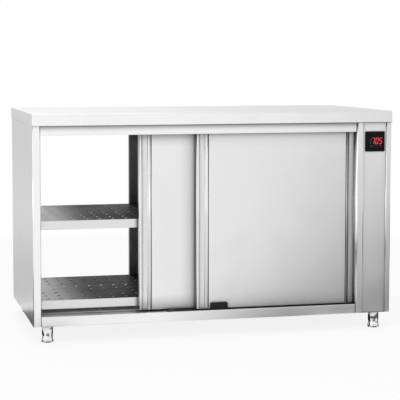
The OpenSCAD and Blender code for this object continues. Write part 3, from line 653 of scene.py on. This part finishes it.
def add_shell(bm, shell, matrix):
    """Puts a small bmesh in its place, adds it to a larger one and frees it."""
    bmesh.ops.transform(shell, matrix=matrix, verts=shell.verts[:])
    part = bpy.data.meshes.new("shell")
    shell.to_mesh(part)
    shell.free()
    bm.from_mesh(part)
    bpy.data.meshes.remove(part)


def finish_piece(name, bm, material, body, replaces=(), angle=35, outwards=None, thickness=None):
    """Turns a bmesh into a piece: normals out, finish, body, slot and what it stands for.

    The largest face of an open sheet is turned to look outwards. A thickness goes inwards from the
    outer face.
    """
    bmesh.ops.recalc_face_normals(bm, faces=bm.faces[:])
    if outwards is not None:
        largest = max(bm.faces, key=lambda face: face.calc_area())
        if largest.normal.dot(Vector(outwards)) < 0:
            bmesh.ops.reverse_faces(bm, faces=bm.faces[:])
    for edge in bm.edges:
        if len(edge.link_faces) == 2 and edge.calc_face_angle() > math.radians(angle):
            edge.smooth = False
    mesh = bpy.data.meshes.new(name)
    bm.to_mesh(mesh)
    bm.free()
    mesh.materials.append(bpy.data.materials[material])
    piece = bpy.data.objects.new(name, mesh)
    bpy.context.scene.collection.objects.link(piece)
    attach(piece, body)
    if replaces:
        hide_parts(*replaces)
    if thickness is not None:
        sheet = piece.modifiers.new("sheet", "SOLIDIFY")
        sheet.thickness = thickness
        sheet.offset = -1.0
        sheet.use_even_offset = True


# ---- Pieces ----


class PLATEWARMER_OT_finishes(bpy.types.Operator):
    """Build the finishes and put them on the solids that are shown as they are"""

    bl_idname = "plate_warmer.finishes"
    bl_label = "Finishes"

    def execute(self, context):
        scene = context.scene
        build_materials(scene.plate_warmer_sizes, scene.plate_warmer_colours)
        for part in frame["record"]["subparts"]:
            finish = NODE_FINISH.get(part["node"], SLOT_FINISH[part["material_slot"]])
            for slot in frame["nodes"][part["node"]].material_slots:
                slot.material = bpy.data.materials[finish]
        return {"FINISHED"}


class PLATEWARMER_OT_worktop(bpy.types.Operator):
    """Fold the worktop: rounded long edges, closed ends and a flange turned in below"""

    bl_idname = "plate_warmer.worktop"
    bl_label = "Worktop"

    def execute(self, context):
        sizes = context.scene.plate_warmer_sizes
        end_radius, lower_radius = 0.0012, 0.0016
        low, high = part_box("worktop")
        bm = bmesh.new()
        box_at(bm, low, high)
        under = [f for f in bm.faces if f.normal.z < -0.9]
        bmesh.ops.inset_region(bm, faces=under, thickness=sizes.worktop_flange, use_even_offset=True)
        bmesh.ops.delete(bm, geom=under, context="FACES_ONLY")
        for axis, radius, segments in ((1, sizes.worktop_radius, 5), (0, end_radius, 3)):
            for side in (low[axis], high[axis]):
                upper = edges_where(bm, lambda co: near(co[axis], side) and near(co.z, high[2]))
                round_edges(bm, upper, radius, segments)
        lower = edges_where(bm, lambda co: near(co.z, low[2]) and any(
            near(co[axis], side[axis]) for axis in (0, 1) for side in (low, high)))
        round_edges(bm, lower, lower_radius)
        finish_piece("folded_worktop", bm, "steel_worktop", "cabinet", ("worktop",),
                     thickness=sizes.worktop_sheet)
        return {"FINISHED"}


def build_side(side, sizes):
    """One side panel: outer face, front and rear strips with their returns, and inner flanges."""
    node = side + "_side_panel"
    low, high = corners(node)
    t = sizes.sheet
    outer, inner, inwards = (low.x, high.x, 1) if side == "left" else (high.x, low.x, -1)
    bm = bmesh.new()
    fold_sheet(bm, [(inner, low.y + RETURN), (inner, low.y), (outer, low.y),
                    (outer, high.y), (inner, high.y), (inner, high.y - RETURN)],
               low.z, high.z, [sizes.frame_radius] * 4)
    finish_piece("folded_" + node, bm, "steel_frame", "cabinet", (node,),
                 outwards=(-inwards, 0, 0), thickness=t)
    bm = bmesh.new()
    ends = sorted((outer + inwards * t, outer + inwards * FLANGE))
    for z in (low.z + t, high.z - t):
        box_at(bm, (ends[0], low.y + RETURN, z), (ends[1], high.y - RETURN, z + t))
    finish_piece(side + "_panel_flanges", bm, "steel_frame", "cabinet")


def build_post(side, sizes):
    """The post between a doorway and the heater column: return, face and web."""
    node = side + "_post"
    low, high = corners(node)
    face, web, inwards = (low.y, high.y, 1) if side == "front" else (high.y, low.y, -1)
    bm = bmesh.new()
    fold_sheet(bm, [(low.x, face + inwards * RETURN), (low.x, face), (high.x, face), (high.x, web)],
               low.z, high.z, [sizes.jamb_radius, sizes.frame_radius])
    # Behind its fold, the web stops a sheet's thickness above the foot of the face.
    past_fold = sizes.frame_radius * 1.5
    web_foot = [v for v in bm.verts if near(v.co.z, low.z) and near(v.co.x, high.x)
                and abs(v.co.y - face) > past_fold]
    bmesh.ops.translate(bm, vec=(0, 0, sizes.sheet), verts=web_foot)
    finish_piece("folded_" + node, bm, "steel_frame", "cabinet", (node,),
                 outwards=(1, 0, 0), thickness=sizes.sheet)


class PLATEWARMER_OT_frame(bpy.types.Operator):
    """Fold the side panels and the posts beside the heater column"""

    bl_idname = "plate_warmer.frame"
    bl_label = "Side panels and posts"

    def execute(self, context):
        sizes = context.scene.plate_warmer_sizes
        for side in ("left", "right"):
            build_side(side, sizes)
        for side in ("front", "rear"):
            build_post(side, sizes)
        return {"FINISHED"}


def door_outline(width, depth):
    """Plan of the folded face of a door: edge strips, finger pulls, slopes and grooves."""
    strip, pull_depth, pull_end, slope_end, groove_depth = 0.011, 0.006, 0.034, 0.042, 0.004
    start, end = GROOVE
    left = [(0, depth), (0, 0), (strip, 0), (strip, pull_depth), (pull_end, pull_depth), (slope_end, 0),
            (start, 0), (start, groove_depth), (end, groove_depth), (end, 0)]
    return left + [(width - x, y) for x, y in reversed(left)]


def build_door(door, sizes):
    """One folded door skin with its two closing strips, in place of the plain solid."""
    low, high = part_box(door + "_door_skin")
    face, inwards = (high[1], -1) if door.startswith("rear") else (low[1], 1)
    width, depth = high[0] - low[0], high[1] - low[1]
    t = sizes.sheet
    margin, small_radius, shortest_fold = 0.0005, 0.0006, 0.3
    bm = bmesh.new()
    raise_plan(bm, door_outline(width, depth), low[2] + t, high[2] - t)

    def in_groove(edge):
        inset = min(edge.verts[0].co.x, width - edge.verts[0].co.x)
        return GROOVE[0] - margin < inset < GROOVE[1] + margin

    folds = [e for e in bm.edges if len(e.link_faces) == 2 and not in_groove(e)]
    round_edges(bm, folds, sizes.fold_radius)
    groove = [e for e in bm.edges if len(e.link_faces) == 2 and e.calc_length() > shortest_fold
              and in_groove(e)]
    round_edges(bm, groove, small_radius, 2)
    place = Matrix.Translation((low[0], face, 0)) @ Matrix.Diagonal((1, inwards, 1, 1))
    bmesh.ops.transform(bm, matrix=place, verts=bm.verts[:])
    finish_piece(door + "_folded_face", bm, "steel_folded", door + "_door",
                 (door + "_door_skin",), outwards=(0, -inwards, 0), thickness=t)
    bm = bmesh.new()
    for z in (low[2], high[2] - t):
        strip = box_at(bm, (low[0], low[1], z), (high[0], high[1], z + t))
        upright = [e for e in bm.edges if all(v in strip for v in e.verts)
                   and not near(e.verts[0].co.z, e.verts[1].co.z)]
        round_edges(bm, upright, small_radius, 2)
    finish_piece(door + "_closing_strips", bm, "steel_folded", door + "_door")


class PLATEWARMER_OT_doors(bpy.types.Operator):
    """Fold the four sliding doors"""

    bl_idname = "plate_warmer.doors"
    bl_label = "Doors"

    def execute(self, context):
        for door in DOORS:
            build_door(door, context.scene.plate_warmer_sizes)
        return {"FINISHED"}


def guide_tab(bm, low, high):
    """A moulded tab with rounded upper corners, as part of a bmesh."""
    made = box_at(bm, low, high)
    upper = [e for e in bm.edges if all(v in made and near(v.co.z, high[2]) for v in e.verts)
             and not near(e.verts[0].co.y, e.verts[1].co.y)]
    corner = min(0.006, (high[2] - low[2]) * 0.45)
    bmesh.ops.bevel(bm, geom=upper, offset=corner, offset_type="OFFSET", segments=6,
                    profile=0.5, affect="EDGES", material=-1, clamp_overlap=True)


def build_guide(side):
    """The moulded floor guide of a doorway, with its tabs, its fin and its two screws."""
    node = side + "_door_guide"
    low, high = corners(node)
    mirror = Matrix.Diagonal((1, -1 if side == "rear" else 1, 1, 1))
    if side == "rear":
        low.y, high.y = -high.y, -low.y
    plate, tab, screw_row, soft = 0.003, 0.067, 0.0165, 0.0005
    bm = bmesh.new()
    box_at(bm, low, (high.x, high.y, low.z + plate))
    for x, front, back, top in ((high.x - tab, low.y, low.y + 0.005, high.z),
                                (low.x, high.y - 0.004, high.y - 0.001, high.z),
                                (high.x - tab, low.y + 0.0273, low.y + 0.0297, (low.z + high.z) / 2)):
        guide_tab(bm, (x, front, low.z), (x + tab, back, top))
    round_edges(bm, [e for e in bm.edges if e.calc_face_angle() > math.radians(30)], soft, 2)
    bmesh.ops.transform(bm, matrix=mirror, verts=bm.verts[:])
    screws = bmesh.new()
    for x in (low.x + 0.020, (low.x + high.x) / 2):
        place = mirror @ Matrix.Translation((x, low.y + screw_row, low.z + plate))
        add_shell(screws, turned(GUIDE_SCREW, 24), place)
    finish_piece(side + "_moulded_guide", bm, "black_nylon_mould", "cabinet", (node,))
    finish_piece(side + "_guide_screws", screws, "zinc_coat", "cabinet")


class PLATEWARMER_OT_guides(bpy.types.Operator):
    """Mould the floor guides of the doors and put in their screws"""

    bl_idname = "plate_warmer.guides"
    bl_label = "Door guides"

    def execute(self, context):
        for side in ("front", "rear"):
            build_guide(side)
        return {"FINISHED"}


class PLATEWARMER_OT_legs(bpy.types.Operator):
    """Turn the bright leg sleeves and the four adjustable feet"""

    bl_idname = "plate_warmer.legs"
    bl_label = "Legs"

    def execute(self, context):
        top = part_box("base_panel")[0][2] * 1000
        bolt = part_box("leg_sockets")[1][2] * 1000
        sleeve = SLEEVE_BORE + SLEEVE_SIDE + (
            (20.5, top - 1), (20.3, top - 0.4), (19.7, top), (5, top),
            (5, bolt - 0.8), (4.2, bolt), (0, bolt))
        segments, angle = 64, 40
        sleeves = bmesh.new()
        for corner in FEET:
            foot = "foot_" + corner
            low, high = corners(foot)
            place = Matrix.Translation(((low.x + high.x) / 2, (low.y + high.y) / 2, 0))
            bm = bmesh.new()
            add_shell(bm, turned(FOOT, segments, smooth=True), place)
            finish_piece("turned_" + foot, bm, "bright_polish", foot, (foot,), angle)
            add_shell(sleeves, turned(sleeve, segments, smooth=True), place)
        finish_piece("leg_sleeves", sleeves, "bright_polish", "cabinet",
                     ("leg_sockets",), angle)
        return {"FINISHED"}


def add_segment(bm, start, end, width, depth):
    """One bar of a figure: six-sided, pointed at both ends, raised towards the viewer."""
    along = (end - start).normalized()
    side = Vector((-along.y, along.x)) * width / 2
    tip = along * width / 2
    ring = [start, start + tip + side, end - tip + side, end, end - tip - side, start + tip - side]
    face = bm.faces.new([bm.verts.new((p.x, 0.0, p.y)) for p in ring])
    raise_by(bm, [face], (0, -depth, 0))


def add_figure(bm, figure, corner, size, lean, bar, depth):
    """A seven-bar figure that leans to the right; the corner is its lower left one."""
    width, height = size
    left, right, low, high = bar / 2, width - bar / 2, bar / 2, height - bar / 2
    middle, gap = height / 2, bar * 0.12
    ends = {"a": (left, high, right, high), "b": (right, middle, right, high),
            "c": (right, low, right, middle), "d": (left, low, right, low),
            "e": (left, low, left, middle), "f": (left, middle, left, high),
            "g": (left, middle, right, middle)}
    for key in BARS[figure]:
        start, end = Vector(ends[key][:2]), Vector(ends[key][2:])
        along = (end - start).normalized() * gap
        leant = [corner + Vector((p.x + math.tan(lean) * p.y, p.y))
                 for p in (start + along, end - along)]
        add_segment(bm, *leant, bar, depth)


class PLATEWARMER_OT_controller(bpy.types.Operator):
    """Build the control glass with its lit figures and printed touch marks"""

    bl_idname = "plate_warmer.controller"
    bl_label = "Controller"

    def execute(self, context):
        sizes = context.scene.plate_warmer_sizes
        low, high = corners("controller_glass")
        middle = (low + high) / 2
        corner_radius, rim_radius = 0.004, 0.0007
        bm = bmesh.new()
        box_at(bm, low, high)
        round_edges(bm, [e for e in bm.edges if not near(e.verts[0].co.y, e.verts[1].co.y)],
                    corner_radius, 6)
        round_edges(bm, edges_where(bm, lambda co: near(co.y, low.y)), rim_radius)
        finish_piece("bevelled_control_glass", bm, "control_glass", "cabinet",
                     ("controller_glass",))

        face = (0, low.y + 0.00002, 0)
        height, lean = sizes.figure_height, sizes.figure_lean
        size, pitch, bar = (height * 0.46, height), height * 0.60, height * 0.10
        start = Vector((middle.x - 0.0165, middle.z - 0.0105))
        bm = bmesh.new()
        for index, figure in enumerate(FIGURES):
            add_figure(bm, figure, start + Vector((index * pitch, 0)), size, lean, bar, LIT_HEIGHT)
        dot = start + Vector((2 * pitch - bar * 0.9, bar * 0.45))
        half = Vector((bar * 0.45, 0))
        add_segment(bm, dot - half, dot + half, bar * 0.8, LIT_HEIGHT)
        bmesh.ops.translate(bm, vec=face, verts=bm.verts[:])
        finish_piece("lit_figures", bm, "lit_figures", "cabinet")

        bm = bmesh.new()
        add_figure(bm, "1", start - Vector((pitch * 0.98, 0)), size, lean, bar * 0.8, MARK_HEIGHT)
        first = Vector((middle.x - 0.016, -MARK_HEIGHT, middle.z - 0.0175))
        for index, (sides, radius, turn) in enumerate(TOUCH_MARKS):
            mark = bmesh.ops.create_circle(bm, segments=sides, radius=radius, cap_ends=True)["verts"]
            place = (Matrix.Translation(first + Vector((index * MARK_PITCH, 0, 0)))
                     @ Matrix.Rotation(math.pi / 2, 4, "X") @ Matrix.Rotation(turn, 4, "Z"))
            bmesh.ops.transform(bm, matrix=place, verts=mark)
        bmesh.ops.translate(bm, vec=face, verts=bm.verts[:])
        finish_piece("printed_touch_marks", bm, "printed_marks", "cabinet")
        return {"FINISHED"}


def hexagon_screw(radius):
    """A new bmesh with a hexagon head on its washer, standing upright on z = 0."""
    r, head_radius, seat, rise, soft = radius * 1000, radius * 0.92, 0.0009, 0.0021, 0.0005
    bm = turned([(0, 0), (r * 1.35, 0), (r * 1.35, 0.5), (r * 1.2, 0.9), (r * 0.92, 1), (0, 1)], 24)
    hexagon = bmesh.ops.create_circle(bm, segments=6, radius=head_radius, cap_ends=True)["verts"]
    bmesh.ops.translate(bm, vec=(0, 0, seat), verts=hexagon)
    top = raise_by(bm, list({f for v in hexagon for f in v.link_faces}), (0, 0, rise))
    round_edges(bm, [e for e in bm.edges if all(v in top for v in e.verts)], soft, 2)
    return bm


class PLATEWARMER_OT_fasteners(bpy.types.Operator):
    """Put hexagon screws on the rear service panel"""

    bl_idname = "plate_warmer.fasteners"
    bl_label = "Fasteners"

    def execute(self, context):
        low, high = corners("rear_service_panel")
        side_margin, end_margin, spaces = 0.010, 0.04, 3
        screws = bmesh.new()
        for x in (low.x + side_margin, high.x - side_margin):
            for index in range(spaces + 1):
                z = low.z + end_margin + (high.z - low.z - 2 * end_margin) * index / spaces
                place = Matrix.Translation((x, high.y, z)) @ Matrix.Rotation(-math.pi / 2, 4, "X")
                add_shell(screws, hexagon_screw(context.scene.plate_warmer_sizes.screw_radius), place)
        finish_piece("service_panel_screws", screws, "zinc_coat", "cabinet")
        return {"FINISHED"}


# ---- Studio ----


def studio_rays(tree):
    """Masks of the rays that gloss sends out, and of those that the camera or glass sends out."""
    rays = add_node(tree, "LightPath").outputs
    seen = math_node(tree, "MAXIMUM", rays["Is Camera Ray"], rays["Is Transmission Ray"])
    return rays["Is Glossy Ray"], seen


def mix_shaders(tree, factor, first, second, end):
    """Mixes two shaders by a factor and feeds the mix to an end of the tree."""
    made = add_node(tree, "MixShader")
    for index, output in enumerate((factor, first.outputs[0], second.outputs[0])):
        feed(output, made.inputs[index])
    feed(made.outputs[0], end.inputs["Surface"])


def studio_world(scene):
    """White for the camera and glass, white with soft grey zones for gloss, and a dome for the rest."""
    world = bpy.data.worlds.new("studio")
    scene.world = world
    world.use_nodes = True
    tree = world.node_tree
    tree.nodes.clear()
    gloss, seen = studio_rays(tree)
    direction = axes(tree, add_node(tree, "TexCoord").outputs["Generated"])
    rear = ramp(tree, direction["Y"], 0.2, 0.5)
    above = mix_values(tree, rear, ramp(tree, direction["Z"], 0.04, 0.45, 1.0, 0.74),
                       ramp(tree, direction["Z"], 0.25, 0.95, 1.0, 0.74))
    right = multiply(tree, rear, ramp(tree, direction["X"], 0.10, 0.35, 0.0, 0.27))
    tone = multiply(tree, above, math_node(tree, "SUBTRACT", 1.0, right))
    dome = add_node(tree, "Background", {"Color": (1, 1, 1, 1), "Strength": DOME})
    white = add_node(tree, "Background", {"Color": (1, 1, 1, 1)})
    feed(math_node(tree, "MAXIMUM", seen, tone), white.inputs["Strength"])
    mix_shaders(tree, math_node(tree, "MAXIMUM", gloss, seen), dome, white,
                add_node(tree, "OutputWorld"))


def leg_zone(tree, breadth, depth):
    """Painted polar tones round each leg, which only gloss sees: a mask of the zone, and its tone.

    Towards the cabinet it is a painted shadow, sideways and outwards painted white, with a painted grey
    streak straight out.
    """
    low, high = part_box("foot_front_left")
    across = math_node(tree, "SUBTRACT", breadth, abs(low[0] + high[0]) / 2)
    outwards = math_node(tree, "SUBTRACT", depth, abs(low[1] + high[1]) / 2)
    from_leg = math_node(tree, "SQRT", math_node(tree, "ADD", multiply(tree, across, across),
                                                 multiply(tree, outwards, outwards)))
    facing = math_node(tree, "DIVIDE", outwards, from_leg)
    around = mix_values(tree, ramp(tree, facing, 0.80, 0.91),
                        ramp(tree, facing, 0.10, 0.35, 0.02, 1.0), LEG_STREAK)
    return ramp(tree, from_leg, 0.27, 0.30, 1.0, 0.0), around


def floor_tone(tree, place):
    """Painted light and shade on the floor, which only gloss sees, in zones before, behind, beside and
    below the cabinet.
    """
    split = axes(tree, place)
    x, y = split["X"], split["Y"]
    slant = math_node(tree, "ADD", x, multiply(tree, y, 0.5))
    front = ramp(tree, slant, -0.5, 0.5, 1.0, 0.18)
    close = ramp(tree, x, -0.25, 0.40, 1.0, 0.10)
    ends = math_node(tree, "MINIMUM", ramp(tree, x, -3.2, -2.2, 0.76, 1.0),
                     ramp(tree, x, 0.75, 1.6, 1.0, 0.78))
    beside = multiply(tree, ramp(tree, x, -0.75, -0.3, 0.66, 0.86), ends)
    rear = multiply(tree, beside, ramp(tree, y, 0.6, 4.0, 0.86, 1.07))
    breadth, depth = math_node(tree, "ABSOLUTE", x), math_node(tree, "ABSOLUTE", y)
    under = multiply(tree, ramp(tree, breadth, 0.95, 1.05, 1.0, 0.0),
                     ramp(tree, depth, 0.26, 0.31, 1.0, 0.0))
    tone = front
    for zone, value in ((ramp(tree, y, -0.95, -0.70), close), (ramp(tree, y, 0.2, 0.8), rear),
                        (under, UNDER), leg_zone(tree, breadth, depth)):
        tone = mix_values(tree, zone, tone, value)
    return tone


def studio_floor():
    """A pale floor that goes white in the open and keeps a soft shadow, with painted zones of light and
    shade that only gloss sees.
    """
    bm = bmesh.new()
    bmesh.ops.create_grid(bm, x_segments=1, y_segments=1, size=40.0)
    bmesh.ops.translate(bm, vec=(0, 0, -0.0004), verts=bm.verts[:])
    mesh = bpy.data.meshes.new("studio_floor")
    bm.to_mesh(mesh)
    bm.free()
    floor = bpy.data.objects.new("studio_floor", mesh)
    bpy.context.scene.collection.objects.link(floor)
    tree, shader = start_material("pale_floor", (FLOOR, FLOOR, FLOOR),
                                  Roughness=0.9, Specular_IOR_Level=0.0)
    place = object_place(tree)
    gloss, seen = studio_rays(tree)
    level = math_node(tree, "MAXIMUM", floor_tone(tree, place), math_node(tree, "SUBTRACT", 1.0, gloss))
    feed(multiply(tree, level, FLOOR), shader.inputs["Base Color"])
    white = add_node(tree, "Emission", {"Color": (1, 1, 1, 1)})
    feed(level, white.inputs["Strength"])
    reach = add_node(tree, "VectorMath", operation="LENGTH")
    feed(place, reach.inputs[0])
    far = ramp(tree, reach.outputs["Value"], 1.3, 3.0)
    for_gloss = multiply(tree, gloss, math_node(tree, "ADD", multiply(tree, level, 0.5), 0.35))
    lift = math_node(tree, "ADD", multiply(tree, seen, 0.87), for_gloss)
    direct = math_node(tree, "MAXIMUM", gloss, seen)
    mix_shaders(tree, multiply(tree, math_node(tree, "MAXIMUM", far, lift), direct), shader, white,
                tree.nodes["Material Output"])
    mesh.materials.append(bpy.data.materials["pale_floor"])


def soft_lamp(name, place, size, power):
    """A square softbox that faces the middle of the cabinet."""
    data = bpy.data.lights.new(name, "AREA")
    data.shape = "SQUARE"
    data.size = size
    data.energy = power
    lamp = bpy.data.objects.new(name, data)
    lamp.location = place
    lamp.rotation_euler = (Vector(LAMP_TARGET) - Vector(place)).to_track_quat("-Z", "Y").to_euler()
    bpy.context.scene.collection.objects.link(lamp)


class PLATEWARMER_OT_stage(bpy.types.Operator):
    """Set the pale floor, the soft light and the camera"""

    bl_idname = "plate_warmer.stage"
    bl_label = "Studio"

    def execute(self, context):
        scene = context.scene
        scene.view_settings.view_transform = "Standard"
        studio_world(scene)
        studio_floor()
        for softbox in SOFTBOXES:
            soft_lamp(*softbox)
        data = bpy.data.cameras.new("camera")
        data.sensor_width = 36.0
        data.lens = CAMERA_LENS
        data.shift_x, data.shift_y = CAMERA_SHIFT
        data.clip_end = 100.0
        camera = bpy.data.objects.new("camera", data)
        camera.location = CAMERA_PLACE
        camera.rotation_euler = (math.radians(90 - CAMERA_DOWN), 0.0, math.radians(-CAMERA_RIGHT))
        scene.collection.objects.link(camera)
        scene.camera = camera
        return {"FINISHED"}


class PLATEWARMER_PT_panel(bpy.types.Panel):
    """Lists the pieces of the cabinet and its studio"""

    bl_idname = "PLATEWARMER_PT_panel"
    bl_label = "Plate Warmer"
    bl_space_type = "VIEW_3D"
    bl_region_type = "UI"
    bl_category = "Plate Warmer"

    def draw(self, context):
        for values in (context.scene.plate_warmer_sizes, context.scene.plate_warmer_colours):
            box = self.layout.box()
            for key in values.__annotations__:
                box.prop(values, key)
        for operator in STEPS:
            self.layout.operator(operator.bl_idname)


STEPS = (PLATEWARMER_OT_finishes, PLATEWARMER_OT_worktop, PLATEWARMER_OT_frame, PLATEWARMER_OT_doors,
         PLATEWARMER_OT_guides, PLATEWARMER_OT_legs, PLATEWARMER_OT_controller,
         PLATEWARMER_OT_fasteners, PLATEWARMER_OT_stage)
CLASSES = (CabinetSizes, CabinetColours) + STEPS + (PLATEWARMER_PT_panel,)


def register():
    """Makes the values, operators and panel known to Blender."""
    for each in CLASSES:
        bpy.utils.register_class(each)
    bpy.types.Scene.plate_warmer_sizes = bpy.props.PointerProperty(type=CabinetSizes)
    bpy.types.Scene.plate_warmer_colours = bpy.props.PointerProperty(type=CabinetColours)


def unregister():
    """Takes them out again."""
    del bpy.types.Scene.plate_warmer_colours
    del bpy.types.Scene.plate_warmer_sizes
    for each in reversed(CLASSES):
        bpy.utils.unregister_class(each)


def main():
    register()
    for operator in STEPS:
        name = operator.bl_idname.split(".")[1]
        getattr(bpy.ops.plate_warmer, name)()


if __name__ == "__main__":
    main()
